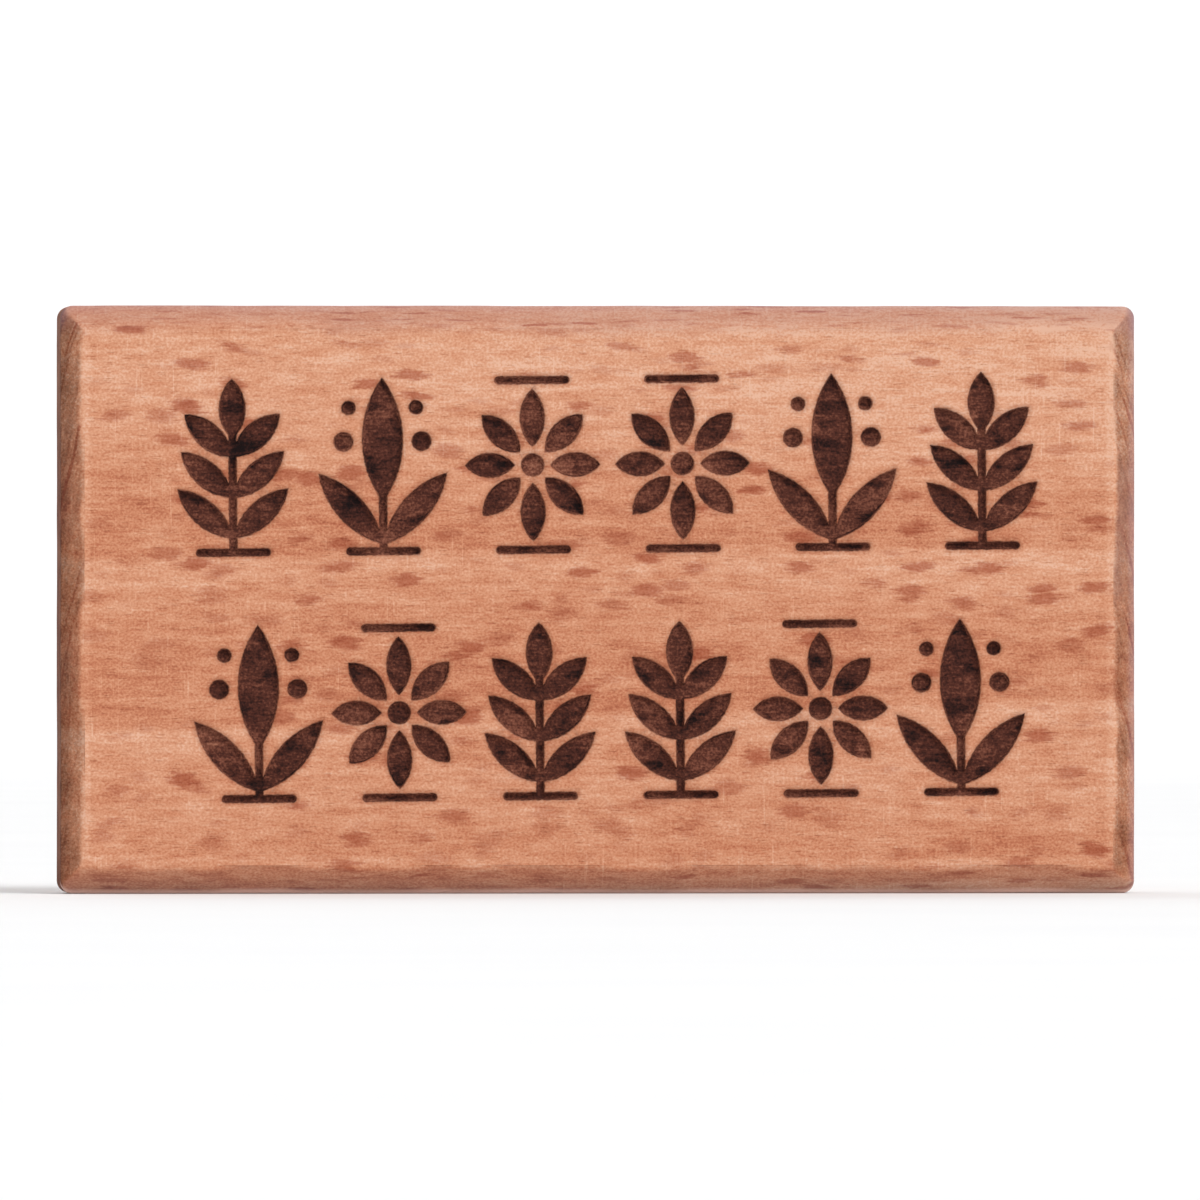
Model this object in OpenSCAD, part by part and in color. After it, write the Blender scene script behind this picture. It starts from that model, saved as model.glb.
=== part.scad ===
// Small wooden plaque: a solid beech block with a chamfered, laser-engraved front, held to steel
// by two disc magnets, each bonded into a blind pocket in the back.
//
// X runs along the width and the grain, Y from the front (-Y) to the back (+Y), and Z is up.
// The origin is under the middle of the block, on the surface that its bottom edge stands on.

/* [Block] */
// Width of the block, from its left edge to its right edge
block_width = 80; // [74:0.5:110]
// Height of the block, from its bottom edge to its top edge
block_height = 43.7; // [42:0.1:60]
// Thickness of the block, from front to back
block_thickness = 9; // [7:0.5:14]
// Radius of the four rounded corners of the outline
corner_radius = 0.9; // [0.4:0.1:2]
// Leg of the 45 degree chamfer along the front's top, left and right edges
front_chamfer = 1.4; // [0.6:0.1:2]
// Leg of the slightly wider chamfer along the front's bottom edge
bottom_chamfer = 1.8; // [0.6:0.1:2.4]
// Leg of the light easing round the back
back_easing = 0.3; // [0.1:0.05:0.6]

/* [Engraving] */
// Depth of the engraved recesses below the front face
engraving_depth = 0.4; // [0.2:0.05:1]
// Height of a row of ornaments
row_height = 13.2; // [9:0.1:13.5]
// Clear height between the two rows
row_gap = 5.1; // [2:0.1:5.5]
// Number of ornaments in a row
row_count = 6; // [2:2:6]
// Distance between the middles of neighbouring ornaments in the upper row
upper_pitch = 11.15; // [10.3:0.05:11.3]
// Distance between the middles of neighbouring ornaments in the lower row
lower_pitch = 10.45; // [10.3:0.05:11.3]
// Width of the thin strokes: stems and bars
thin_stroke = 0.6; // [0.3:0.05:0.9]
// Distance by which the engraving sits right of the block's middle
engraving_shift = 0.7; // [-1:0.1:1]
// Distance by which the engraving sits above the block's middle
engraving_rise = 0.9; // [-0.5:0.1:1]
// Angle by which the engraving is turned on the block, anticlockwise
engraving_turn = 0.55; // [-1:0.05:1]

/* [Magnets] */
// Diameter of each disc magnet
magnet_diameter = 10; // [6:1:15]
// Thickness of each disc magnet
magnet_thickness = 3; // [2:0.5:4]
// Distance between the two magnets' centres
magnet_spacing = 48; // [24:1:50]
// Radial gap between a magnet and the wall of its pocket, filled with adhesive
adhesive_ring = 0.2; // [0.1:0.05:0.4]
// Thickness of the adhesive between a magnet and the floor of its pocket
adhesive_bed = 0.3; // [0.1:0.05:0.5]
// Distance from the back of the block in to a magnet's face
magnet_recess = 0.1; // [0.05:0.05:0.4]

/* [Hidden] */

front_y = -block_thickness / 2;
back_y = block_thickness / 2;
middle_z = block_height / 2;

pocket_diameter = magnet_diameter + 2 * adhesive_ring;
pocket_depth = magnet_recess + magnet_thickness + adhesive_bed;
// Overlap of a cutting tool past the face that it cuts
overcut = 1;
// Facets that an arc is drawn with
smooth = 120;

// The ornaments of each row, from left to right: mirror images about the row's middle
upper_row = ["sprig", "bud", "rosette", "rosette", "bud", "sprig"];
lower_row = ["bud", "rosette", "sprig", "sprig", "rosette", "bud"];

// ---- Flat shapes of the engraving, each with its foot on the X axis ----

// A pointed leaf along Y, from its stalk at the origin: the overlap of two equal circles
module leaf(length, width) {
    arc_radius = (length * length + width * width) / (4 * width);
    translate([0, length / 2])
        intersection() {
            translate([arc_radius - width / 2, 0]) circle(r = arc_radius, $fn = smooth);
            translate([width / 2 - arc_radius, 0]) circle(r = arc_radius, $fn = smooth);
        }
}

// Two leaves that lean out to the left and the right by the same angle
module leaf_pair(length, width, lean) {
    for (side = [-1, 1])
        rotate(side * lean) leaf(length, width);
}

// A thin level stroke with round ends, centred on the origin
module bar(length) {
    straight = length - thin_stroke;
    square([straight, thin_stroke], center = true);
    for (side = [-1, 1])
        translate([side * straight / 2, 0]) circle(d = thin_stroke, $fn = smooth);
}

// The bar that an ornament stands on
module foot() {
    foot_length = 0.42 * row_height;
    translate([0, thin_stroke / 2]) bar(foot_length);
}

// A thin upright stroke from the foot to the given height
module stem(height) {
    translate([-thin_stroke / 2, thin_stroke / 2]) square([thin_stroke, height - thin_stroke / 2]);
}

// An upright stem with leaves in opposite pairs and one leaf at its tip
module sprig() {
    first_pair_height = 0.1 * row_height;
    pair_step = 0.23 * row_height;
    longest_leaf = 0.42 * row_height;
    // Each pair is this much shorter than the one below it
    shortening = 0.03 * row_height;
    leaf_width = 0.145 * row_height;
    leaf_lean = 48;
    tip_height = 0.66 * row_height;
    tip_width = 0.15 * row_height;
    foot();
    stem(tip_height + thin_stroke);
    for (pair = [0 : 2])
        translate([0, first_pair_height + pair * pair_step])
            leaf_pair(longest_leaf - pair * shortening, leaf_width, leaf_lean);
    translate([0, tip_height]) leaf(row_height - tip_height, tip_width);
}

// A tall bud on a stem, over two long leaves and between two pairs of dots
module bud() {
    leaf_height = 0.06 * row_height;
    leaf_length = 0.54 * row_height;
    leaf_width = 0.16 * row_height;
    leaf_lean = 42;
    bud_start = 0.3 * row_height;
    bud_width = 0.23 * row_height;
    lower_dot = [0.22 * row_height, 0.64 * row_height];
    lower_dot_diameter = 0.11 * row_height;
    upper_dot = [0.19 * row_height, 0.83 * row_height];
    upper_dot_diameter = 0.08 * row_height;
    foot();
    stem(bud_start + thin_stroke);
    translate([0, leaf_height]) leaf_pair(leaf_length, leaf_width, leaf_lean);
    translate([0, bud_start]) leaf(row_height - bud_start, bud_width);
    for (side = [-1, 1]) {
        translate([side * lower_dot.x, lower_dot.y]) circle(d = lower_dot_diameter, $fn = smooth);
        translate([side * upper_dot.x, upper_dot.y]) circle(d = upper_dot_diameter, $fn = smooth);
    }
}

// Eight petals round a centre, between a foot and a matching bar at the top of the row
module rosette() {
    centre_diameter = 0.13 * row_height;
    petal_start = 0.1 * row_height;
    petal_width = 0.14 * row_height;
    // Upright petals are the longest, so that the flower fills the row's height
    petal_lengths = [0.33 * row_height, 0.3 * row_height, 0.28 * row_height, 0.3 * row_height];
    foot();
    translate([0, row_height - thin_stroke]) foot();
    translate([0, row_height / 2]) {
        circle(d = centre_diameter, $fn = smooth);
        for (petal = [0 : 7])
            rotate(petal * 45) translate([0, petal_start])
                leaf(petal_lengths[petal % 4], petal_width);
    }
}

module ornament(kind) {
    if (kind == "sprig") sprig();
    if (kind == "bud") bud();
    if (kind == "rosette") rosette();
}

// One row of ornaments, centred on the Y axis, with their feet on the X axis
module ornament_row(kinds, pitch) {
    for (place = [0 : row_count - 1])
        translate([(place - (row_count - 1) / 2) * pitch, 0]) ornament(kinds[place]);
}

// Both rows, centred on the origin
module engraving_outline() {
    translate([0, row_gap / 2]) ornament_row(upper_row, upper_pitch);
    translate([0, -row_gap / 2 - row_height]) ornament_row(lower_row, lower_pitch);
}

// ---- The block ----

// The block's outline as seen from the front, its corner at the origin
module front_outline() {
    translate([corner_radius, 0]) square([block_width - 2 * corner_radius, block_height]);
    translate([0, corner_radius]) square([block_width, block_height - 2 * corner_radius]);
    for (x = [corner_radius, block_width - corner_radius])
        for (y = [corner_radius, block_height - corner_radius])
            translate([x, y]) circle(r = corner_radius, $fn = smooth);
}

// The block as seen from above: chamfered at the front corners, eased at the back ones
module plan_outline() {
    half_width = block_width / 2;
    polygon([
        [-half_width + front_chamfer, front_y],
        [half_width - front_chamfer, front_y],
        [half_width, front_y + front_chamfer],
        [half_width, back_y - back_easing],
        [half_width - back_easing, back_y],
        [-half_width + back_easing, back_y],
        [-half_width, back_y - back_easing],
        [-half_width, front_y + front_chamfer]
    ]);
}

// The block as seen from its right end, with Y to the right and Z up
module side_outline() {
    polygon([
        [front_y, bottom_chamfer],
        [front_y + bottom_chamfer, 0],
        [back_y - back_easing, 0],
        [back_y, back_easing],
        [back_y, block_height - back_easing],
        [back_y - back_easing, block_height],
        [front_y + front_chamfer, block_height],
        [front_y, block_height - front_chamfer]
    ]);
}

// The chamfered block before it is engraved and drilled
module blank() {
    intersection() {
        translate([-block_width / 2, back_y, 0])
            rotate([90, 0, 0]) linear_extrude(block_thickness) front_outline();
        linear_extrude(block_height) plan_outline();
        translate([-block_width / 2, 0, 0])
            rotate([90, 0, 90]) linear_extrude(block_width) side_outline();
    }
}

// The tool that cuts the engraving: the ornaments, from in front of the face to the full depth
module engraving_cutter() {
    translate([engraving_shift, front_y + engraving_depth, middle_z + engraving_rise])
        rotate([90, -engraving_turn, 0])
            linear_extrude(engraving_depth + overcut) engraving_outline();
}

// Puts a child that is modelled along Z, with its mouth at the origin, in the back of one side
module in_back(side) {
    translate([side * magnet_spacing / 2, back_y, middle_z])
        rotate([-90, 0, 0]) children();
}

module wooden_block() {
    color("burlywood")
        difference() {
            blank();
            engraving_cutter();
            for (side = [-1, 1])
                in_back(side) translate([0, 0, -pocket_depth])
                    cylinder(d = pocket_diameter, h = pocket_depth + overcut, $fn = smooth);
        }
}

// ---- What the pockets hold ----

// A nickel-plated disc magnet just below the back face. Side is -1 on the left and 1 on the right.
module magnet(side) {
    color("silver")
        in_back(side) translate([0, 0, -magnet_recess - magnet_thickness])
            cylinder(d = magnet_diameter, h = magnet_thickness, $fn = smooth);
}

// A cup of cured adhesive that fills the pocket behind and round its magnet
module adhesive(side) {
    color("wheat")
        in_back(side)
            difference() {
                translate([0, 0, -pocket_depth])
                    cylinder(d = pocket_diameter, h = pocket_depth - magnet_recess, $fn = smooth);
                translate([0, 0, -magnet_recess - magnet_thickness])
                    cylinder(d = magnet_diameter, h = magnet_thickness + overcut, $fn = smooth);
            }
}

module left_magnet() { magnet(-1); }
module right_magnet() { magnet(1); }
module left_adhesive() { adhesive(-1); }
module right_adhesive() { adhesive(1); }

wooden_block();
left_magnet();
right_magnet();
left_adhesive();
right_adhesive();
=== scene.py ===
"""Looks of the small wooden plaque: a beech block with a burnt engraving and two magnets in its back.

Lengths are in millimetres up to the point where a mesh, a bump or a camera is made, and in metres there.
"""
import math

import bmesh
import bpy
import numpy as np
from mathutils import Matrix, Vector
from mathutils.geometry import delaunay_2d_cdt
from mathutils.kdtree import KDTree


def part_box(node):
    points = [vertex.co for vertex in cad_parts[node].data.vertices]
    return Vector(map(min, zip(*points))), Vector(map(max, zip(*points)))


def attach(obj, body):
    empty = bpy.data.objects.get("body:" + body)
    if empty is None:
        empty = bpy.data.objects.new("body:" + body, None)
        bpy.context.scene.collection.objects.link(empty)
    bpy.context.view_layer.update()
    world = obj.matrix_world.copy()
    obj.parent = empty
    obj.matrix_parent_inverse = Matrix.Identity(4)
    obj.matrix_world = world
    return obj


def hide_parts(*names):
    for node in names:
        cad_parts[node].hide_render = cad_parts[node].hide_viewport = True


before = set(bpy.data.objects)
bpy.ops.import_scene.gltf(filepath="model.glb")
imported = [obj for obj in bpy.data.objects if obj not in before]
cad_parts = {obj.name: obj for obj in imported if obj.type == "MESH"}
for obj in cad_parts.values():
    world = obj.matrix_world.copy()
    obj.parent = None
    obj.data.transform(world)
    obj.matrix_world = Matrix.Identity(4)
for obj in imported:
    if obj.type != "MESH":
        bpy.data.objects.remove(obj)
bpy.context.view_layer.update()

MM = 0.001


def box_mm(node):
    """Lowest and highest corner of a CAD node, in millimetres."""
    low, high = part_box(node)
    return np.array(low) / MM, np.array(high) / MM


def disc_mm(node):
    """Middle (x, z) and radius of a CAD disc, and the Y of its front and of its back, in millimetres."""
    low, high = box_mm(node)
    centre = ((low[0] + high[0]) / 2, (low[2] + high[2]) / 2)
    return centre, (high[0] - low[0]) / 2, low[1], high[1]


BLOCK_LOW, BLOCK_HIGH = box_mm("wooden_block")
WIDTH, THICKNESS, HEIGHT = BLOCK_HIGH - BLOCK_LOW
FRONT = BLOCK_LOW[1]
BACK = BLOCK_HIGH[1]

# Edges of the block, as part.scad has them
CORNER_RADIUS = 0.9
SIDE_CHAMFER = 1.4
BOTTOM_CHAMFER = 1.8
BACK_EASING = 0.3

# Softening that sanding leaves on the arrises, and how far they wander
INNER_ARRIS_RADIUS = 0.8
OUTER_ARRIS_RADIUS = 0.5
BACK_ARRIS_RADIUS = 0.25
ARRIS_WANDER = 0.3
OUTLINE_WANDER = 0.02

# Width of the flat ring of even faces round each pocket's mouth
POCKET_COLLAR = 0.6

# Points in a circle of a magnet, its adhesive or its pocket
CIRCLE_STEPS = 96

# How the wall of a burnt recess falls: distance inside the outline, and share of the full depth there
RECESS_WALL = ((-0.06, 0.0), (0.0, 0.1), (0.05, 0.35), (0.17, 1.0))


# ---------------------------------------------------------------- geometry helpers

def ripple(position, period, seed, octaves=4):
    """Smooth repeatable unevenness about -1 to 1 along a line, from sines of falling period."""
    # Each octave's waves are this many times shorter, and this many times lower, than the last one's
    shorter, lower = 1.7, 1.5
    random = np.random.default_rng(seed)
    total = np.zeros(np.shape(position))
    for octave in range(octaves):
        turns = np.asarray(position) / (period / shorter ** octave) + random.random()
        total += np.sin(2 * np.pi * turns) / lower ** octave
    return total / 2


def ripple_2d(x, z, period, seed):
    """The same over a plane: ripples that run in several directions."""
    random = np.random.default_rng(seed)
    total = np.zeros(np.shape(x))
    directions, seed_step = 6, 31
    for turn in range(directions):
        angle = math.pi * (turn + random.random()) / directions
        along = x * math.cos(angle) + z * math.sin(angle)
        total += ripple(along, period, seed + seed_step * turn, octaves=3)
    return total / directions ** 0.5


def corner_arc(before, corner, after, radius, steps):
    """Points of the arc that rounds a corner of a profile."""
    before, corner, after = np.array(before), np.array(corner), np.array(after)
    to_before = (before - corner) / np.linalg.norm(before - corner)
    to_after = (after - corner) / np.linalg.norm(after - corner)
    half_angle = math.acos(np.clip(to_before @ to_after, -1, 1)) / 2
    bisector = (to_before + to_after) / np.linalg.norm(to_before + to_after)
    centre = corner + bisector * radius / math.sin(half_angle)
    start = corner + to_before * radius / math.tan(half_angle) - centre
    sweep = math.pi - 2 * half_angle
    side = math.copysign(1, start[0] * bisector[1] - start[1] * bisector[0])
    points = []
    for step in range(steps + 1):
        turn = -side * sweep * step / steps
        cos, sin = math.cos(turn), math.sin(turn)
        points.append(centre + np.array((start[0] * cos - start[1] * sin, start[0] * sin + start[1] * cos)))
    return points


def rounded_rectangle(left, right, bottom, top, radius, straight_steps, arc_steps):
    """Points (x, z) round a rectangle from its bottom right corner, anticlockwise, always as many."""
    long_steps, short_steps = straight_steps
    # Centre of each corner's arc, the angle that it starts at, and the steps of the straight after it
    corners = ((right - radius, bottom + radius, -90, short_steps),
               (right - radius, top - radius, 0, long_steps),
               (left + radius, top - radius, 90, short_steps),
               (left + radius, bottom + radius, 180, long_steps))

    def on_arc(x, z, degrees):
        turn = math.radians(degrees)
        return np.array((x + radius * math.cos(turn), z + radius * math.sin(turn)))

    points = []
    for index, (x, z, start, steps) in enumerate(corners):
        arc = [on_arc(x, z, start + 90 * step / arc_steps) for step in range(arc_steps + 1)]
        next_x, next_z, next_start, _ = corners[(index + 1) % 4]
        next_point = on_arc(next_x, next_z, next_start)
        points += arc
        points += [arc[-1] + (next_point - arc[-1]) * step / steps for step in range(1, steps)]
    return np.array(points)


def jittered_grid(left, right, bottom, top, spacing, seed):
    """Points spread evenly but not in lines, so that their triangles show no pattern."""
    random = np.random.default_rng(seed)
    row_spacing, jitter = 0.87, 0.22
    xs = np.arange(left, right, spacing)
    zs = np.arange(bottom, top, spacing * row_spacing)
    x, z = np.meshgrid(xs, zs)
    x = x + (np.arange(len(zs)) % 2)[:, None] * spacing / 2
    grid = np.stack((x.ravel(), z.ravel()), 1)
    return grid + random.uniform(-jitter, jitter, grid.shape) * spacing


def ring_edges(first, count):
    """The edges of a closed ring of points that starts at an index."""
    return [(first + i, first + (i + 1) % count) for i in range(count)]


def triangulated(flat, edges):
    """Even triangles between flat points that keep every edge: the points, and three indices a triangle."""
    inside_edges, tolerance = 1, 1e-4
    vectors = [Vector(p) for p in flat]
    spots, _, triangles, *_ = delaunay_2d_cdt(vectors, edges, [], inside_edges, tolerance, False)
    return np.array([tuple(p) for p in spots]), triangles


class Outline:
    """Closed loops of points, to ask how far inside or outside them a place is."""

    def __init__(self, loops):
        self.loops = loops
        self.inward = [self.loop_inward(index) for index in range(len(loops))]
        self.points = np.concatenate(loops)
        self.before = np.concatenate([np.roll(loop, 1, 0) for loop in loops])
        self.after = np.concatenate([np.roll(loop, -1, 0) for loop in loops])
        self.normals = np.concatenate(self.inward)
        self.tree = KDTree(len(self.points))
        for index, (x, z) in enumerate(self.points):
            self.tree.insert((x, z, 0), index)
        self.tree.balance()

    def loop_inward(self, index):
        """Unit vectors across one loop, into the area that an odd number of loops encloses."""
        loop = self.loops[index]
        ahead = unit(np.roll(loop, -1, 0) - loop)
        behind = unit(loop - np.roll(loop, 1, 0))
        along = unit(ahead + behind)
        left = np.stack((-along[:, 1], along[:, 0]), 1)
        straightest = np.argmax((ahead * behind).sum(1))
        probe_distance = 0.01
        probe = loop[straightest] + left[straightest] * probe_distance
        return left if sum(encloses(other, probe) for other in self.loops) % 2 == 1 else -left

    def depth_inside(self, places):
        """Each place's distance to the outline: positive inside, negative outside."""
        nearest = np.array([self.tree.find((x, z, 0))[1] for x, z in places])
        corner = self.points[nearest]
        spans = [foot_on_segment(places, corner, end[nearest]) for end in (self.before, self.after)]
        lengths = [np.linalg.norm(places - foot, axis=1) for foot in spans]
        foot = np.where((lengths[0] < lengths[1])[:, None], spans[0], spans[1])
        side = ((places - foot) * self.normals[nearest]).sum(1)
        return np.minimum(*lengths) * np.where(side < 0, -1, 1)


def unit(vectors):
    """Each row scaled to length 1."""
    return vectors / np.maximum(np.linalg.norm(vectors, axis=1), 1e-9)[:, None]


def encloses(loop, place):
    """Whether a closed loop goes round a place, by counting crossings of a ray to the right."""
    end = np.roll(loop, -1, 0)
    spans = (loop[:, 1] > place[1]) != (end[:, 1] > place[1])
    rise = np.where(spans, end[:, 1] - loop[:, 1], 1)
    crossing = loop[:, 0] + (end[:, 0] - loop[:, 0]) * (place[1] - loop[:, 1]) / rise
    return (spans & (place[0] < crossing)).sum() % 2 == 1


def foot_on_segment(places, start, end):
    """The point of each segment that is nearest to its place."""
    along = end - start
    share = ((places - start) * along).sum(1) / np.maximum((along ** 2).sum(1), 1e-12)
    return start + np.clip(share, 0, 1)[:, None] * along


class MeshBuilder:
    """Collects vertices in millimetres, with the number that their material reads, and faces."""

    # How far inside the engraving a point counts as, where there is no engraving near it
    FAR_FROM_CUT = -10.0

    def __init__(self):
        self.points = []
        self.faces = []
        self.cut = []

    def add(self, points, cut=None):
        """Adds points and returns the index of each. cut is how far inside the engraving each one is."""
        first = len(self.points)
        self.points += [tuple(p) for p in points]
        self.cut += [self.FAR_FROM_CUT] * len(points) if cut is None else list(cut)
        return list(range(first, first + len(points)))

    def skin(self, rings):
        """Joins each closed ring to the next. All have as many points."""
        for ring, next_ring in zip(rings, rings[1:]):
            for i, j in ring_edges(0, len(ring)):
                self.faces.append((ring[i], next_ring[i], next_ring[j], ring[j]))

    def close(self, *rings):
        """Fills each ring with one face."""
        self.faces += [tuple(ring) for ring in rings]

    def make(self, name, material, weld=0.002):
        """The finished object in metres, welded where parts meet, and shaded so that flats stay flat."""
        mesh = bpy.data.meshes.new(name)
        mesh.from_pydata([Vector(p) * MM for p in self.points], [], self.faces)
        mesh.attributes.new("cut", "FLOAT", "POINT").data.foreach_set("value", self.cut)
        work = bmesh.new()
        work.from_mesh(mesh)
        bmesh.ops.remove_doubles(work, verts=work.verts, dist=weld * MM)
        bmesh.ops.recalc_face_normals(work, faces=work.faces)
        for face in work.faces:
            face.smooth = True
        work.to_mesh(mesh)
        work.free()
        mesh.materials.append(material)
        piece = bpy.data.objects.new(name, mesh)
        bpy.context.scene.collection.objects.link(piece)
        flats = piece.modifiers.new("flat_faces_stay_flat", "WEIGHTED_NORMAL")
        flats.weight = 80
        return piece


# ---------------------------------------------------------------- the block

def engraving_floor():
    """The engraving's outline, as segments (n, 2, 2) of X and Z, and its depth, both from the CAD block."""
    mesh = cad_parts["wooden_block"].data
    mesh.calc_loop_triangles()
    spots = np.empty(len(mesh.vertices) * 3, np.float32)
    mesh.vertices.foreach_get("co", spots)
    spots = np.round(spots.reshape(-1, 3) / MM, 3)
    corners = np.empty(len(mesh.loop_triangles) * 3, np.int32)
    mesh.loop_triangles.foreach_get("vertices", corners)
    triangles = spots[corners.reshape(-1, 3)]
    level = triangles[:, :, 1]
    # The floor is the only level face just behind the front
    least_depth, greatest_depth = 0.05, SIDE_CHAMFER
    depth = level[:, 0] - FRONT
    shallow = (level.min(1) == level.max(1)) & (depth > least_depth) & (depth < greatest_depth)
    uses = {}
    for triangle in triangles[shallow]:
        flat = [(float(x), float(z)) for x, _, z in triangle]
        for i in range(3):
            key = tuple(sorted((flat[i], flat[(i + 1) % 3])))
            uses[key] = uses.get(key, 0) + 1
    outline = np.array([key for key, count in uses.items() if count == 1])
    return outline, float(np.median(level[shallow][:, 0])) - FRONT


def closed_loops(outline):
    """The outline's segments chained into closed loops of points."""
    neighbours = {}
    for start, end in outline:
        start, end = tuple(start), tuple(end)
        neighbours.setdefault(start, []).append(end)
        neighbours.setdefault(end, []).append(start)
    loops = []
    while neighbours:
        first = min(neighbours)
        loop = [first]
        while True:
            here = loop[-1]
            following = next((p for p in neighbours.get(here, []) if p in neighbours), None)
            if following is None:
                break
            neighbours[here].remove(following)
            neighbours[following].remove(here)
            if not neighbours[here]:
                del neighbours[here]
            if following == first:
                break
            loop.append(following)
        neighbours = {p: ends for p, ends in neighbours.items() if ends}
        if len(loop) > 2:
            loops.append(np.array(loop))
    return loops


def resampled(loop, spacing):
    """The loop with extra points, so that none of its steps is longer than spacing."""
    points = []
    for here, there in zip(loop, np.roll(loop, -1, 0)):
        steps = max(1, math.ceil(np.linalg.norm(there - here) / spacing))
        points += [here + (there - here) * step / steps for step in range(steps)]
    return np.array(points)


def face_height(points, cut, depth):
    """Y of the front at each point: the flat face, the recess walls, and the uneven burnt floor."""
    edge_unevenness, floor_unevenness, stretch_along_grain = 0.022, 0.07, 0.45
    x, z = points[:, 0], points[:, 1]
    burnt_edge = cut + edge_unevenness * ripple_2d(x, z, period=0.9, seed=5)
    distances, shares = zip(*RECESS_WALL)
    share = np.interp(burnt_edge, distances, shares)
    floor = depth * (1 + floor_unevenness * ripple_2d(x * stretch_along_grain, z, period=1.3, seed=9))
    return FRONT + share * floor


def front_face(builder, rim):
    """Fills the rim of the face with triangles that follow the engraving."""
    outline_step, face_spacing, rim_margin = 0.18, 0.42, 0.25
    clear_outside, clear_inside = 0.12, 0.1
    segments, depth = engraving_floor()
    outline = Outline([resampled(loop, outline_step) for loop in closed_loops(segments)])
    rim_flat = np.array([(builder.points[i][0], builder.points[i][2]) for i in rim])
    flat = [rim_flat]
    edges = ring_edges(0, len(rim))
    count = len(rim)
    for loop, inward in zip(outline.loops, outline.inward):
        for distance, _ in RECESS_WALL:
            edges += ring_edges(count, len(loop))
            flat.append(loop + inward * distance)
            count += len(loop)
    (left, bottom), (right, top) = rim_flat.min(0) + rim_margin, rim_flat.max(0) - rim_margin
    spread = jittered_grid(left, right, bottom, top, face_spacing, seed=3)
    inside = outline.depth_inside(spread)
    well_outside = inside < RECESS_WALL[0][0] - clear_outside
    well_inside = inside > RECESS_WALL[-1][0] + clear_inside
    flat.append(spread[well_outside | well_inside])
    spots, triangles = triangulated(np.concatenate(flat), edges)
    cut = outline.depth_inside(spots)
    height = face_height(spots, cut, depth)
    indices = builder.add(np.stack((spots[:, 0], height, spots[:, 1]), 1), cut)
    builder.faces += [tuple(indices[i] for i in triangle) for triangle in triangles]


def chamfer_profile(chamfer):
    """(inset from the block's outline, distance from the front) down one edge, from the face to the back."""
    front_steps, back_steps = 4, 3
    # Places on the face and on the back that only give a direction
    on_front, on_back = (chamfer + 2, 0), (3, THICKNESS)
    inner, outer = (chamfer, 0), (0, chamfer)
    back_side = (0, THICKNESS - BACK_EASING)
    back_face = (BACK_EASING, THICKNESS)
    points = corner_arc(on_front, inner, outer, INNER_ARRIS_RADIUS, front_steps)
    points += [np.array((chamfer * (1 - share), chamfer * share)) for share in (0.4, 0.6)]
    points += corner_arc(inner, outer, back_side, OUTER_ARRIS_RADIUS, front_steps)
    # The plain side between the outer arris and the easing, in even steps that stop short of it
    side_steps, short_of_back = 5, 2
    for step in range(1, side_steps):
        along_side = step / side_steps * (back_side[1] - short_of_back - chamfer)
        points.append(np.array((0, OUTER_ARRIS_RADIUS + chamfer + along_side)))
    points += corner_arc(outer, back_side, back_face, BACK_ARRIS_RADIUS, back_steps)
    points += corner_arc(back_side, back_face, on_back, BACK_ARRIS_RADIUS, back_steps)
    return points


def wandered(ring, amount):
    """The ring with its four sides drawn in unevenly by about up to amount, as hand sanding does."""
    wave_length, most_unevenness = 19, 1.2
    half_size = np.array((WIDTH, HEIGHT)) / 2
    centred = ring - (0, HEIGHT / 2)
    x, z = centred[:, 0], centred[:, 1]
    result = centred.copy()
    for axis, position, seed in ((0, z, 11), (1, x, 17)):
        for side in (-1, 1):
            unevenness = np.clip(0.5 + ripple(position, wave_length, seed + side), 0, most_unevenness)
            towards = np.clip(side * centred[:, axis] / half_size[axis], 0, 1)
            result[:, axis] -= side * towards * amount * unevenness
    return result + (0, HEIGHT / 2)


def block_rings(builder):
    """The rings of the block from the rim of its face to the rim of its back."""
    long_steps, short_steps, arc_steps = 150, 84, 8
    least_radius = 0.14
    rings = []
    for side, bottom in zip(chamfer_profile(SIDE_CHAMFER), chamfer_profile(BOTTOM_CHAMFER)):
        radius = max(CORNER_RADIUS - side[0], least_radius)
        ring = rounded_rectangle(BLOCK_LOW[0] + side[0], BLOCK_HIGH[0] - side[0],
                                 BLOCK_LOW[2] + bottom[0], BLOCK_HIGH[2] - side[0],
                                 radius, (long_steps, short_steps), arc_steps)
        below = np.clip((BLOCK_LOW[2] + bottom[0] + radius - ring[:, 1]) / radius, 0, 1)
        depth = side[1] + (bottom[1] - side[1]) * below
        ring = wandered(ring, OUTLINE_WANDER + ARRIS_WANDER * side[0] / SIDE_CHAMFER)
        rings.append(builder.add(np.stack((ring[:, 0], FRONT + depth, ring[:, 1]), 1)))
    builder.skin(rings)
    return rings


def circle(centre, radius, y):
    """Points of an upright circle that faces the back."""
    turns = np.linspace(0, 2 * np.pi, CIRCLE_STEPS, endpoint=False)
    return np.stack((centre[0] + radius * np.cos(turns), np.full(CIRCLE_STEPS, y),
                     centre[1] + radius * np.sin(turns)), 1)


def make_pocket(builder, centre, radius, floor):
    """A blind hole with a barely eased mouth, inside a collar that meets the back."""
    half_depth = 1.5
    levels = ((radius + POCKET_COLLAR, BACK), (radius + POCKET_COLLAR / 3, BACK), (radius + 0.07, BACK),
              (radius + 0.04, BACK - 0.007), (radius + 0.02, BACK - 0.02), (radius, BACK - 0.07),
              (radius, BACK - half_depth), (radius, floor), (radius * 0.5, floor))
    rings = [builder.add(circle(centre, r, y)) for r, y in levels]
    builder.skin(rings)
    builder.close(rings[-1])


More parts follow.
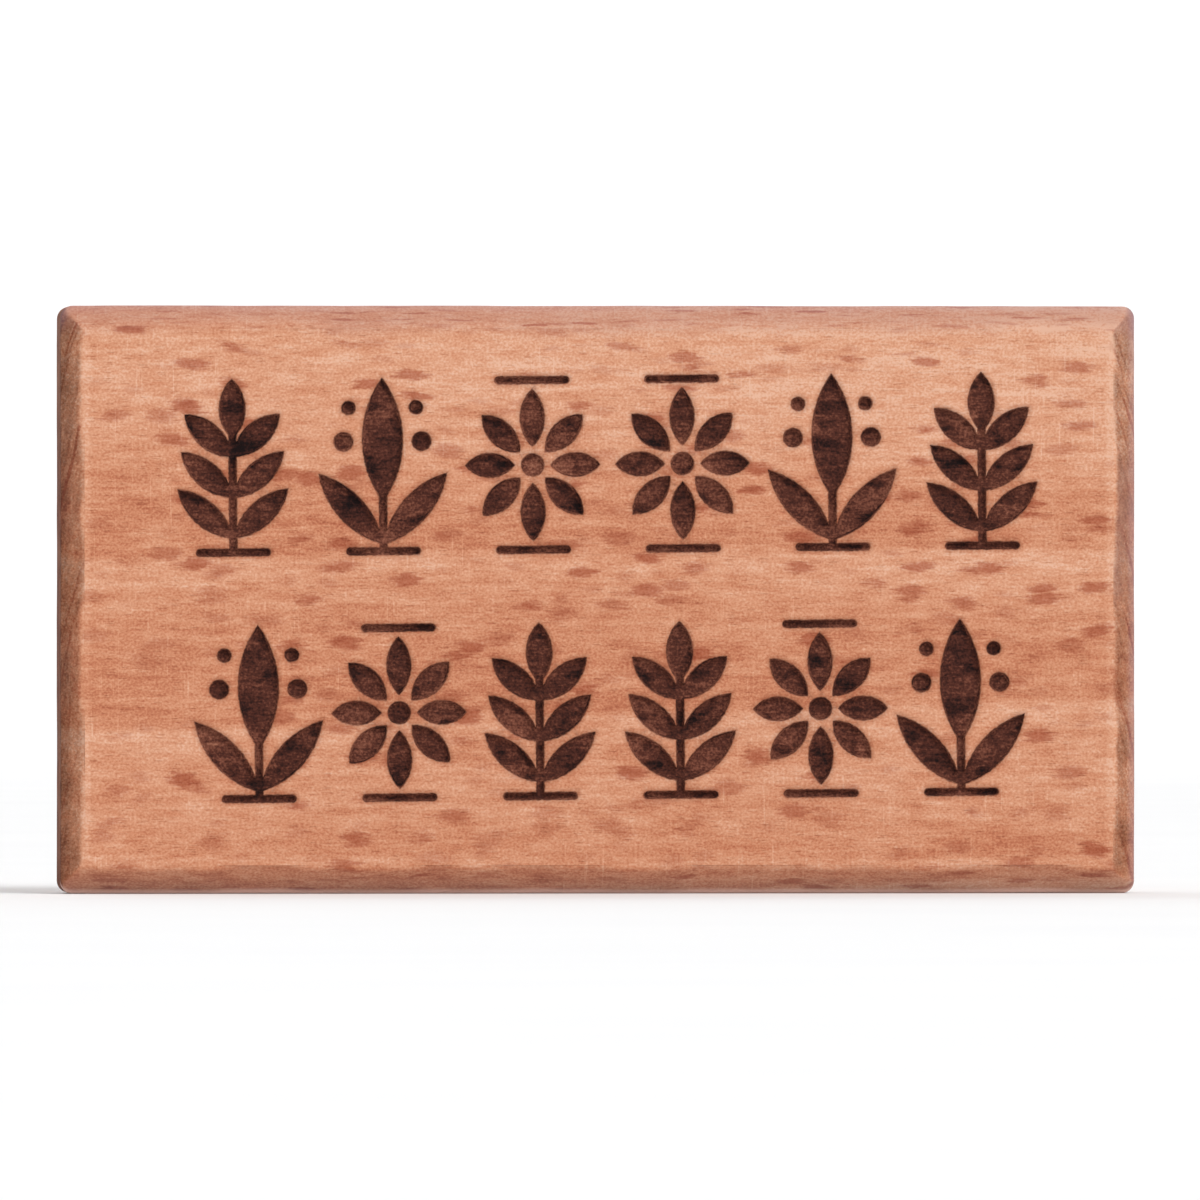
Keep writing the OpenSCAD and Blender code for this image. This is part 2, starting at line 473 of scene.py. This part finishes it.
def back_face(builder, rim):
    """Fills the rim of the back, leaving the two pockets, and models the pockets."""
    spacing, rim_margin, collar_margin = 1.1, 0.6, 0.4
    rim_flat = np.array([(builder.points[i][0], builder.points[i][2]) for i in rim])
    flat = [rim_flat]
    edges = ring_edges(0, len(rim))
    count = len(rim)
    pockets = []
    for side in ("left", "right"):
        centre, radius, floor, _ = disc_mm(side + "_adhesive")
        pockets.append((centre, radius, floor))
        edges += ring_edges(count, CIRCLE_STEPS)
        flat.append(circle(centre, radius + POCKET_COLLAR, BACK)[:, [0, 2]])
        count += CIRCLE_STEPS
    (left, bottom), (right, top) = rim_flat.min(0) + rim_margin, rim_flat.max(0) - rim_margin
    spread = jittered_grid(left, right, bottom, top, spacing, seed=4)
    for centre, radius, _ in pockets:
        clear = radius + POCKET_COLLAR + collar_margin
        spread = spread[np.linalg.norm(spread - centre, axis=1) > clear]
    flat.append(spread)
    # A little less than 1, because a circle of straight steps lies just inside its radius
    chord_share = 0.999

    def in_pocket(place):
        return any(np.linalg.norm(place - centre) <= (radius + POCKET_COLLAR) * chord_share
                   for centre, radius, _ in pockets)

    spots, triangles = triangulated(np.concatenate(flat), edges)
    indices = builder.add([(x, BACK, z) for x, z in spots])
    for triangle in triangles:
        if not in_pocket(spots[list(triangle)].mean(0)):
            builder.faces.append(tuple(indices[i] for i in triangle))
    for centre, radius, floor in pockets:
        make_pocket(builder, centre, radius, floor)


def make_block(material):
    """The block of wood, with its engraving and its two pockets."""
    builder = MeshBuilder()
    rings = block_rings(builder)
    front_face(builder, rings[0])
    back_face(builder, rings[-1])
    block = builder.make("engraved_block", material)
    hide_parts("wooden_block")
    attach(block, "root")


# ---------------------------------------------------------------- magnets and adhesive

def make_magnet(side, material):
    """A disc with rounded rims, in the place of the CAD disc."""
    centre, radius, inner_y, outer_y = disc_mm(side + "_magnet")
    rim, rim_steps = 0.22, 6
    profile = [(radius * share, outer_y) for share in (0.35, 0.7, 0.9)]
    profile += corner_arc((0, outer_y), (radius, outer_y), (radius, inner_y), rim, rim_steps)
    profile += corner_arc((radius, outer_y), (radius, inner_y), (0, inner_y), rim, rim_steps)
    profile += [(radius * share, inner_y) for share in (0.9, 0.35)]
    builder = MeshBuilder()
    rings = [builder.add(circle(centre, r, y)) for r, y in profile]
    builder.skin(rings)
    builder.close(rings[0], rings[-1])
    magnet = builder.make(side + "_disc_magnet", material)
    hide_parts(side + "_magnet")
    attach(magnet, "root")


def make_adhesive(side, material, seed):
    """The cup of adhesive: a bed and a ring whose visible top dips and swells as a set liquid does."""
    centre, outer, floor, top = disc_mm(side + "_adhesive")
    _, inner, bed_top, _ = disc_mm(side + "_magnet")
    # The cup stays this far off the magnet's side, the pocket's side and the pocket's floor
    off_magnet, off_pocket, off_floor = 0.004, 0.003, 0.004
    # Its end faces have a ring at this share of their radius
    middle_share = 0.4
    # Its upright sides stop this far short of the CAD cup's top, at the magnet and at the pocket
    inner_stop, outer_stop = 0.16, 0.3
    # The least share of the profile's lift that its top has, and about how far its outer half swells
    least_share, outer_swell = 0.4, 0.025
    around = np.linspace(0, 2 * np.pi, CIRCLE_STEPS, endpoint=False)
    swell = 0.5 + 0.5 * ripple(around * outer, 2 * np.pi * outer / 2, seed)
    builder = MeshBuilder()
    rings = [builder.add(circle(centre, inner * middle_share, bed_top)),
             builder.add(circle(centre, inner + off_magnet, bed_top)),
             builder.add(circle(centre, inner + off_magnet, top - inner_stop))]
    # Share of the way from the magnet to the pocket, and how far the adhesive rises there
    top_profile = ((0.004, -0.02), (0.3, -0.05), (0.6, -0.03), (0.85, 0.02), (1.0, 0.05))
    for share, lift in top_profile:
        points = circle(centre, inner + (outer - inner) * share, top)
        points[:, 1] += lift * (least_share + swell) + outer_swell * swell * (share > 0.5)
        rings.append(builder.add(points))
    rings.append(builder.add(circle(centre, outer - off_pocket, top - outer_stop)))
    rings.append(builder.add(circle(centre, outer - off_pocket, floor + off_floor)))
    rings.append(builder.add(circle(centre, outer * middle_share, floor + off_floor)))
    builder.skin(rings)
    builder.close(rings[0], rings[-1])
    adhesive = builder.make(side + "_adhesive_cup", material, weld=0.0005)
    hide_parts(side + "_adhesive")
    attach(adhesive, "root")


# ---------------------------------------------------------------- material helpers

def linear(red, green, blue):
    """A colour given as on a screen, 0 to 255, in the linear values that shaders take."""
    def channel(value):
        value /= 255
        return value / 12.92 if value <= 0.04045 else ((value + 0.055) / 1.055) ** 2.4
    return (channel(red), channel(green), channel(blue), 1.0)


class Nodes:
    """Short ways to add nodes to one material. All but put return output sockets."""

    def __init__(self, material):
        material.use_nodes = True
        self.tree = material.node_tree
        self.shader = self.tree.nodes["Principled BSDF"]

    def put(self, socket, value):
        if isinstance(value, bpy.types.NodeSocket):
            self.tree.links.new(value, socket)
        else:
            socket.default_value = value

    def new(self, kind, output, **inputs):
        node = self.tree.nodes.new(kind)
        for name, value in inputs.items():
            self.put(node.inputs[name], value)
        return node.outputs[output]

    def math(self, operation, first, second=0.0, third=0.0):
        node = self.tree.nodes.new("ShaderNodeMath")
        node.operation = operation
        for socket, value in zip(node.inputs, (first, second, third)):
            self.put(socket, value)
        return node.outputs[0]

    def add(self, first, second):
        return self.math("ADD", first, second)

    def times(self, first, second):
        return self.math("MULTIPLY", first, second)

    def split(self, vector):
        node = self.tree.nodes.new("ShaderNodeSeparateXYZ")
        self.put(node.inputs[0], vector)
        return node.outputs[0], node.outputs[1], node.outputs[2]

    def join(self, x, y, z):
        node = self.tree.nodes.new("ShaderNodeCombineXYZ")
        for socket, value in zip(node.inputs, (x, y, z)):
            self.put(socket, value)
        return node.outputs[0]

    def smooth(self, value, low, high, result_low=0.0, result_high=1.0):
        """A soft step from result_low, where value is low, to result_high, where it is high."""
        node = self.tree.nodes.new("ShaderNodeMapRange")
        node.interpolation_type = "SMOOTHSTEP"
        for socket, number in zip(node.inputs, (value, low, high, result_low, result_high)):
            self.put(socket, number)
        return node.outputs[0]

    def ramp(self, value, low, high):
        """0 where value is below low, 1 where it is above high, and even between."""
        node = self.tree.nodes.new("ShaderNodeMapRange")
        for socket, number in zip(node.inputs, (value, low, high)):
            self.put(socket, number)
        return node.outputs[0]

    def noise(self, along, across, detail=2.0, roughness=0.5):
        """Smooth noise about 0, with so many grains a millimetre along X and across it."""
        x, y, z = self.split(self.object_mm())
        place = self.join(self.times(x, along), self.times(y, across), self.times(z, across))
        return self.noise_at(place, detail, roughness)

    def noise_at(self, place, detail=2.0, roughness=0.5):
        """Smooth noise about 0, with one grain a unit."""
        value = self.new("ShaderNodeTexNoise", "Fac", Vector=place, Scale=1.0, Detail=detail,
                         Roughness=roughness)
        return self.add(value, -0.5)

    def total(self, *parts):
        """Sum of (value, weight) pairs."""
        result = self.times(*parts[0])
        for value, weight in parts[1:]:
            result = self.math("MULTIPLY_ADD", value, weight, result)
        return result

    def edge_band(self, value, middle, width):
        """1 where value is near plus or minus middle, 0 further than width from it."""
        away = self.math("ABSOLUTE", self.add(self.math("ABSOLUTE", value), -middle))
        return self.smooth(away, width, width * 0.2)

    def colours(self, value, stops):
        """The colour for value, from evenly spaced colours between 0 and 1."""
        node = self.tree.nodes.new("ShaderNodeValToRGB")
        elements = node.color_ramp.elements
        while len(elements) < len(stops):
            elements.new(0.5)
        for index, stop in enumerate(stops):
            elements[index].position = index / (len(stops) - 1)
            elements[index].color = stop
        self.put(node.inputs[0], value)
        return node.outputs[0]

    def cells(self, vector, randomness=1.0):
        """Distance to the nearest of the scattered points, and a random number for that point."""
        node = self.tree.nodes.new("ShaderNodeTexVoronoi")
        self.put(node.inputs["Vector"], vector)
        node.inputs["Scale"].default_value = 1.0
        node.inputs["Randomness"].default_value = randomness
        return node.outputs["Distance"], self.split(node.outputs["Color"])[0]

    def blend(self, share, first, second, how="MIX"):
        node = self.tree.nodes.new("ShaderNodeMix")
        node.data_type = "RGBA"
        node.blend_type = how
        # The node's colours go in at 6 and 7 and come out at 2
        self.put(node.inputs[0], share)
        self.put(node.inputs[6], first)
        self.put(node.inputs[7], second)
        return node.outputs[2]

    def bump(self, height, distance):
        return self.new("ShaderNodeBump", "Normal", Height=height, Distance=distance, Strength=1.0)

    def object_mm(self):
        """The place in the row frame, in millimetres."""
        node = self.tree.nodes.new("ShaderNodeTexCoord")
        scale = self.tree.nodes.new("ShaderNodeVectorMath")
        scale.operation = "SCALE"
        self.put(scale.inputs[0], node.outputs["Object"])
        scale.inputs["Scale"].default_value = 1 / MM
        return scale.outputs[0]

    def attribute(self, name):
        node = self.tree.nodes.new("ShaderNodeAttribute")
        node.attribute_name = name
        return node.outputs["Fac"]


# ---------------------------------------------------------------- materials

class Beech(Nodes):
    """Steamed beech as a solid, in the log's own directions. Each step keeps what later steps read."""

    # Height on the front of the line where the second growth ring starts
    SECOND_RING = 25.2
    # The pith lies far above the block and in front of it, so the rays lean by this angle
    PITH_DISTANCE = 170.0
    RAY_TILT = math.radians(14)
    PITH_Y = -PITH_DISTANCE * math.sin(RAY_TILT)
    PITH_Z = HEIGHT / 2 + PITH_DISTANCE * math.cos(RAY_TILT)
    # What rays and end grain multiply the wood's colour by; the end grain's colour also carries painted
    # shade
    RAY_STAIN = (0.65, 0.42, 0.36, 1.0)
    END_STAIN_AND_SHADE = (0.17, 0.1, 0.065, 1.0)

    def __init__(self, material):
        super().__init__(material)
        self.x, self.y, self.z = self.split(self.object_mm())
        self.facing_x, _, self.facing_z = self.split(self.new("ShaderNodeNewGeometry", "Normal"))
        self.find_pith()
        self.find_rays()
        self.find_fibres()
        self.find_sanding()
        wood = self.paint_edge_light_and_shade(self.end_grain(self.face_grain()))
        self.burn(wood)

    def find_pith(self):
        """How far each point is from the pith, and how far round it."""
        # The grain lines slope, and draw together to the right
        slope_at_ring, fan = 0.006, 0.0018
        below_ring = self.math("SUBTRACT", self.SECOND_RING, self.z)
        slope = self.add(self.times(below_ring, fan), slope_at_ring)
        waver = self.times(self.noise(0.035, 0.12, 3.0), 1.6)
        level = self.add(self.math("SUBTRACT", self.z, self.times(self.x, slope)), waver)
        from_pith_y = self.add(self.y, -self.PITH_Y)
        from_pith_z = self.math("SUBTRACT", self.PITH_Z, level)
        squares = self.add(self.times(from_pith_y, from_pith_y), self.times(from_pith_z, from_pith_z))
        self.radial = self.math("SQRT", squares)
        turn = self.math("ARCTAN2", from_pith_y, from_pith_z)
        self.tangential = self.times(turn, self.PITH_DISTANCE)

    def front_radius(self, height):
        """Distance from the pith of a point that high in the middle of the front, as a number."""
        return math.hypot(FRONT - self.PITH_Y, self.PITH_Z - height)

    def growth_rings(self):
        """The pale line that starts each ring, and the darker late wood that ends it."""
        # Heights on the front where a ring starts and ends, and the stretch where late wood comes in
        rings = ((46.0, self.SECOND_RING, 0.45, 0.95), (self.SECOND_RING, 13.2, 0.0, 0.75),
                 (13.2, -0.5, 0.45, 0.85), (-0.5, -14.0, 0.3, 0.9))
        early_line, late_wood = 0.0, 0.0
        for top, bottom, late_start, late_full in rings:
            share = self.ramp(self.radial, self.front_radius(top), self.front_radius(bottom))
            within = self.smooth(share, 1.0, 0.97)
            starting = self.times(self.smooth(share, 0.0, 0.01), self.smooth(share, 0.22, 0.05))
            early_line = self.add(early_line, starting)
            late_wood = self.add(late_wood, self.times(self.smooth(share, late_start, late_full), within))
        return early_line, late_wood

    def find_rays(self):
        """Thin sheets along the log, seen on the face as soft reddish flecks."""
        along = self.total((self.x, 1.0), (self.noise(0.5, 5.0), 2.0))
        across = self.total((self.tangential, 1.0), (self.noise(0.16, 0.3), 0.35))

        def sheets(length, height, depth, randomness):
            place = self.join(self.times(along, 1 / length), self.times(across, 1 / height),
                              self.times(self.radial, 1 / depth))
            return self.cells(place, randomness)

        distance, random = sheets(4.2, 0.4, 30.0, 0.9)
        ragged = self.add(distance, self.times(self.noise(1.5, 6.0), 0.3))
        self.ray = self.times(self.smooth(ragged, 0.38, 0.17), self.smooth(random, 0.0, 0.7, 0.4, 1.0))
        distance, random = sheets(2.8, 0.3, 12.0, 1.0)
        self.small_ray = self.times(self.smooth(distance, 0.38, 0.1), self.smooth(random, 0.1, 0.9))

    def find_fibres(self):
        """Fibres and pores, long in the grain and fine across it."""
        self.fibre = self.noise(0.55, 3.4, 2.0, 0.6)
        self.speckle = self.noise(5.0, 6.2, 1.0)
        place = self.join(self.times(self.x, 0.8), self.times(self.y, 6.5), self.times(self.z, 6.5))
        distance, random = self.cells(place)
        self.pore = self.times(self.smooth(distance, 0.36, 0.16), self.smooth(random, 0.35, 0.75))

    def find_sanding(self):
        """Faint pale lines that cross-grain sanding left, in patches."""
        upright_lines = self.smooth(self.noise(4.6, 0.22), 0.1, 0.24)
        level_lines = self.smooth(self.noise(0.22, 4.6), 0.12, 0.26)
        lines = self.math("MAXIMUM", upright_lines, self.times(level_lines, 0.8))
        patches = self.smooth(self.noise(0.06, 0.06), -0.14, 0.08)
        self.sanded = self.times(lines, patches)

    def arris_highlights(self):
        """Bands just inside the side and bottom arrises of the face, made paler as a painted highlight."""
        near_sides = self.edge_band(self.x, WIDTH / 2 - SIDE_CHAMFER - 0.4, 0.6)
        near_bottom = self.edge_band(self.z, BOTTOM_CHAMFER + 0.5, 0.7)
        on_front = self.smooth(self.y, FRONT + 0.9, FRONT + 0.3)
        return self.times(self.math("MAXIMUM", near_sides, near_bottom), on_front)

    def face_grain(self):
        """The colour of the wood along its grain, with painted light towards the upper right and along the
        arrises.
        """
        early_line, late_wood = self.growth_rings()
        upper_edge = self.add(self.z, self.times(self.noise(0.03, 0.06), 12.0))
        upper_pale = self.smooth(upper_edge, 27.5, 35.0)
        band, streak, mottle = self.noise(0.02, 0.12), self.noise(0.11, 1.5), self.noise(0.35, 0.85)
        # Painted light: the face is made paler towards its upper right
        painted_light_upper_right = self.times(self.x, self.z)
        # Tone from 0, the darkest wood, to 1, the palest
        tone = self.total((early_line, 0.1), (late_wood, -0.2), (upper_pale, 0.12), (band, 0.22),
                          (mottle, 0.53), (streak, 0.48), (self.fibre, 0.62), (self.speckle, 1.03),
                          (self.pore, -0.14), (self.sanded, 0.27), (painted_light_upper_right, 0.00005))
        tone = self.add(tone, 0.61)
        # Painted highlight: paler bands just inside the arrises
        tone = self.add(tone, self.times(self.arris_highlights(), 0.16))
        wood = self.colours(tone, (linear(164, 90, 62), linear(186, 115, 83), linear(202, 137, 103),
                                   linear(214, 156, 124), linear(224, 177, 150)))
        wood = self.blend(self.times(self.ray, 0.95), wood, self.RAY_STAIN, "MULTIPLY")
        return self.blend(self.times(self.small_ray, 0.42), wood, self.RAY_STAIN, "MULTIPLY")

    def end_grain(self, wood):
        """Darkens the ends, which soak up finish, shows rays as lines and pores as dots there, and paints
        light and shade on them.
        """
        facing_end = self.math("ABSOLUTE", self.facing_x)
        self.end = self.smooth(self.add(facing_end, self.times(self.noise(0.9, 0.5, 3.0), 0.5)), 0.2, 0.7)
        end_wall = self.smooth(facing_end, 0.8, 1.0)
        rays = self.noise_at(self.join(self.times(self.tangential, 3.4), self.times(self.radial, 0.35),
                                       self.times(self.x, 0.2)), 2.0)
        dots = self.noise(1.5, 6.5, 1.0)
        patches = self.noise(0.5, 0.45, 3.0, 0.6)
        # Painted light makes the left end paler than the right one, and painted shade darkens it towards its
        # outer line
        left_end = self.smooth(self.x, 1.0, -1.0)
        left_outer_shade = self.smooth(self.x, SIDE_CHAMFER - WIDTH / 2 - 0.3, 0.3 - WIDTH / 2)
        # The end walls darken further: partly end grain, partly painted shade
        shade = self.total((rays, 0.45), (dots, 0.6), (patches, 0.7), (end_wall, 0.17), (left_outer_shade, 0.27),
                           (left_end, -0.11))
        shade = self.times(self.end, self.add(shade, 0.5))
        wood = self.blend(shade, wood, self.END_STAIN_AND_SHADE, "MULTIPLY")
        # A dull bloom on the chamfers, mostly the right one, and a painted highlight: a paler outer line on
        # the right
        on_chamfer = self.math("SUBTRACT", self.end, end_wall)
        bloom = self.times(on_chamfer, self.smooth(self.noise(0.1, 0.13, 3.0), -0.04, 0.12))
        bloom = self.times(bloom, self.smooth(left_end, 0.0, 1.0, 0.32, 0.06))
        wood = self.blend(bloom, wood, linear(152, 116, 108))
        # Painted highlight along the right end's outer line
        near_front = self.smooth(self.y, FRONT + 2.6, FRONT + 1.2)
        right_outer_highlight = self.times(self.smooth(self.x, WIDTH / 2 - 0.75, WIDTH / 2), near_front)
        return self.blend(self.times(right_outer_highlight, 0.22), wood, linear(214, 180, 186))

    def paint_edge_light_and_shade(self, wood):
        """Greys the upper edge as a painted reflection, darkens the lower one as painted shade, and paints a
        pale highlight on the lower one's outer line.
        """
        wobbly_z = self.add(self.z, self.times(self.noise(0.12, 0.12), 1.6))
        # Painted reflection and painted shade: the upper chamfer is blended to a darker cool grey, bluer
        # towards its outer part
        topside = self.smooth(wobbly_z, HEIGHT - 2.6, HEIGHT - 0.8)
        top_reflection = self.times(topside, self.smooth(self.y, FRONT + 1.2, FRONT + 2.4, 0.4, 0.08))
        top_outer = self.times(self.smooth(self.y, FRONT + 0.8, FRONT + 1.5),
                               self.smooth(self.y, FRONT + 2.4, FRONT + 1.5))
        grey = self.blend(top_outer, linear(153, 100, 93), linear(151, 125, 138))
        wood = self.blend(top_reflection, wood, grey)
        # Painted shade: the lower chamfer is blended to grey, more towards the bottom
        underside_shade = self.times(self.smooth(self.facing_z, -0.2, -0.8),
                               self.smooth(self.z, BOTTOM_CHAMFER, 0.0, 0.14, 0.42))
        wood = self.blend(underside_shade, wood, linear(98, 97, 100))
        # Painted highlight: a pale line along the outer arris of the lower edge
        off_arris = self.math("ABSOLUTE", self.add(self.y, -FRONT - BOTTOM_CHAMFER))
        lower_arris_highlight = self.times(self.smooth(off_arris, 0.42, 0.05), self.smooth(wobbly_z, 1.1, 0.5))
        return self.blend(self.times(lower_arris_highlight, 0.78), wood, linear(226, 190, 178))

    def burn(self, wood):
        """Chars the engraving, by distance inside its outline, and sets what the shader reads."""
        inside = self.total((self.attribute("cut"), 1.0), (self.noise(3.0, 4.0), 0.2))
        burnt = self.smooth(inside, -0.08, 0.07)
        scorch = self.smooth(inside, -0.42, -0.02, 0.0, 0.34)
        rim = self.smooth(inside, 0.36, 0.1)
        raster = self.noise(0.8, 5.5)
        grit = self.noise(5.5, 6.0, 1.0)
        blotch = self.smooth(self.noise(0.5, 0.7), 0.04, 0.16)
        char = self.total((rim, 0.05), (blotch, -0.24), (self.ray, -0.3), (raster, 0.5), (grit, 0.74),
                          (self.noise(0.25, 0.3), 0.85))
        charred = self.colours(self.add(char, 0.49), (linear(20, 6, 6), linear(54, 25, 19),
                                                      linear(85, 44, 33), linear(126, 75, 58),
                                                      linear(166, 112, 88)))
        wood = self.blend(scorch, wood, linear(140, 76, 48))
        self.put(self.shader.inputs["Base Color"], self.blend(burnt, wood, charred))
        grain = self.total((self.fibre, 1.0), (self.pore, 0.2), (self.end, 0.6))
        rough_wood = self.smooth(grain, -0.25, 0.8, 0.5, 0.96)
        self.put(self.shader.inputs["Roughness"], self.smooth(burnt, 0.0, 1.0, rough_wood, 0.88))
        self.shader.inputs["Specular IOR Level"].default_value = 0.2
        relief = self.total((self.fibre, 0.7), (self.pore, -0.6), (self.sanded, -0.2), (self.speckle, 0.6))
        burnt_relief = self.total((raster, 2.4), (grit, 1.6))
        relief = self.add(relief, self.times(burnt, burnt_relief))
        self.put(self.shader.inputs["Normal"], self.bump(relief, 0.035 * MM))


def beech_material():
    """The wood of the block, with its burnt engraving."""
    material = bpy.data.materials.new("beech_burnt")
    Beech(material)
    return material


def nickel_material():
    """Bright nickel plating: fine scuffs and faint handling marks."""
    material = bpy.data.materials.new("nickel_plating")
    nodes = Nodes(material)
    scuff = nodes.smooth(nodes.noise(7.0, 0.6, 3.0, 0.65), 0.05, 0.25)
    cross_scuff = nodes.smooth(nodes.noise(0.7, 8.0), 0.1, 0.28)
    handling = nodes.noise(0.45, 0.45, 3.0, 0.6)
    dull = nodes.total((scuff, 0.6), (cross_scuff, 0.5), (handling, 1.6))
    colour = nodes.blend(dull, linear(196, 192, 184), linear(138, 132, 122))
    relief = nodes.total((scuff, -0.5), (cross_scuff, -0.4))
    nodes.put(nodes.shader.inputs["Base Color"], colour)
    nodes.shader.inputs["Metallic"].default_value = 1.0
    nodes.put(nodes.shader.inputs["Roughness"], nodes.smooth(dull, -0.2, 0.8, 0.16, 0.42))
    nodes.put(nodes.shader.inputs["Normal"], nodes.bump(relief, 0.004 * MM))
    return material


def adhesive_material():
    """Cured adhesive: glossy, clouded amber with small trapped bubbles."""
    material = bpy.data.materials.new("amber_adhesive")
    nodes = Nodes(material)
    x, y, z = nodes.split(nodes.object_mm())
    cloud = nodes.noise(0.9, 0.9, 3.0, 0.6)
    distance, random = nodes.cells(nodes.join(*(nodes.times(axis, 5.0) for axis in (x, y, z))))
    bubble = nodes.times(nodes.smooth(distance, 0.3, 0.2), nodes.smooth(random, 0.6, 0.8))
    colour = nodes.blend(nodes.smooth(cloud, -0.2, 0.2), linear(205, 180, 132), linear(168, 134, 84))
    colour = nodes.blend(nodes.times(bubble, 0.6), colour, linear(232, 220, 190))
    relief = nodes.total((cloud, 1.0), (bubble, 0.4))
    nodes.put(nodes.shader.inputs["Base Color"], colour)
    nodes.put(nodes.shader.inputs["Roughness"], nodes.smooth(cloud, -0.2, 0.2, 0.14, 0.34))
    nodes.put(nodes.shader.inputs["Normal"], nodes.bump(relief, 0.02 * MM))
    return material


def floor_material():
    """Matt white card with the slightest mottle."""
    material = bpy.data.materials.new("white_card")
    nodes = Nodes(material)
    mottle = nodes.noise(0.02, 0.02)
    colour = nodes.blend(nodes.add(mottle, 0.5), linear(246, 246, 246), linear(242, 242, 243))
    nodes.put(nodes.shader.inputs["Base Color"], colour)
    nodes.put(nodes.shader.inputs["Roughness"], nodes.smooth(mottle, -0.2, 0.2, 0.8, 0.9))
    nodes.shader.inputs["Specular IOR Level"].default_value = 0.1
    return material


# ---------------------------------------------------------------- studio

def make_floor(material):
    """A pale sweep: a floor that curves up into a backdrop far behind the plaque."""
    half_width, front_edge, bend_start, bend_radius, top = 30000, -30000, 1500, 700, 2500
    # Rows near the plaque keep the shading of the floor level there
    near = 400
    profile = [(front_edge, 0), (-near, 0), (0, 0), (near, 0), (bend_start, 0)]
    bend_steps = 16
    for step in range(1, bend_steps + 1):
        turn = math.pi / 2 * step / bend_steps
        profile.append((bend_start + bend_radius * math.sin(turn), bend_radius * (1 - math.cos(turn))))
    profile.append((bend_start + bend_radius, top))
    points, faces = [], []
    for y, z in profile:
        points += [(-half_width * MM, y * MM, z * MM), (half_width * MM, y * MM, z * MM)]
    for i in range(len(profile) - 1):
        faces.append((2 * i, 2 * i + 1, 2 * i + 3, 2 * i + 2))
    mesh = bpy.data.meshes.new("floor")
    mesh.from_pydata(points, [], faces)
    for face in mesh.polygons:
        face.use_smooth = True
    mesh.materials.append(material)
    floor = bpy.data.objects.new("floor", mesh)
    bpy.context.scene.collection.objects.link(floor)


def broad_lamp(name, azimuth, elevation, strength, spread):
    """A lamp so large and far that it lights everything alike, from azimuth and elevation in degrees."""
    lamp = bpy.data.lights.new(name, "SUN")
    lamp.energy = strength * math.pi
    lamp.angle = math.radians(spread)
    turn, rise = math.radians(azimuth), math.radians(elevation)
    towards = Vector((math.sin(turn) * math.cos(rise), -math.cos(turn) * math.cos(rise), math.sin(rise)))
    holder = bpy.data.objects.new(name, lamp)
    holder.rotation_mode = "QUATERNION"
    holder.rotation_quaternion = towards.to_track_quat("Z", "Y")
    bpy.context.scene.collection.objects.link(holder)


def make_lights():
    """A soft key from above right, a weaker fill from behind, and an even white surround."""
    broad_lamp("key_above_right", azimuth=34, elevation=42, strength=0.59, spread=30)
    broad_lamp("fill_behind", azimuth=205, elevation=35, strength=0.32, spread=50)
    world = bpy.data.worlds.new("studio_white")
    world.use_nodes = True
    background = world.node_tree.nodes["Background"]
    background.inputs["Color"].default_value = (1, 1, 1, 1)
    background.inputs["Strength"].default_value = 0.56
    bpy.context.scene.world = world
    bpy.context.scene.view_settings.view_transform = "Standard"


def make_camera():
    """A long lens from far off, level with the plaque and a little to its left."""
    distance = 1750
    turn = math.radians(-3.5)
    # The plaque's width is this share of the frame's
    fill = 0.8975
    aim = Vector((0.05, FRONT, HEIGHT / 2 - 0.03))
    back = Vector((math.sin(turn), -math.cos(turn), 0))
    lens = bpy.data.cameras.new("camera")
    lens.sensor_width = 36
    lens.lens = lens.sensor_width * distance * fill / WIDTH
    lens.clip_start, lens.clip_end = 0.1, 60
    camera = bpy.data.objects.new("camera", lens)
    camera.location = (aim + back * distance) * MM
    camera.rotation_mode = "QUATERNION"
    camera.rotation_quaternion = (-back).to_track_quat("-Z", "Y")
    bpy.context.scene.collection.objects.link(camera)
    bpy.context.scene.camera = camera


make_camera()
make_lights()
make_floor(floor_material())
make_block(beech_material())
nickel = nickel_material()
adhesive = adhesive_material()
for seed, side in enumerate(("left", "right")):
    make_magnet(side, nickel)
    make_adhesive(side, adhesive, 40 + seed)
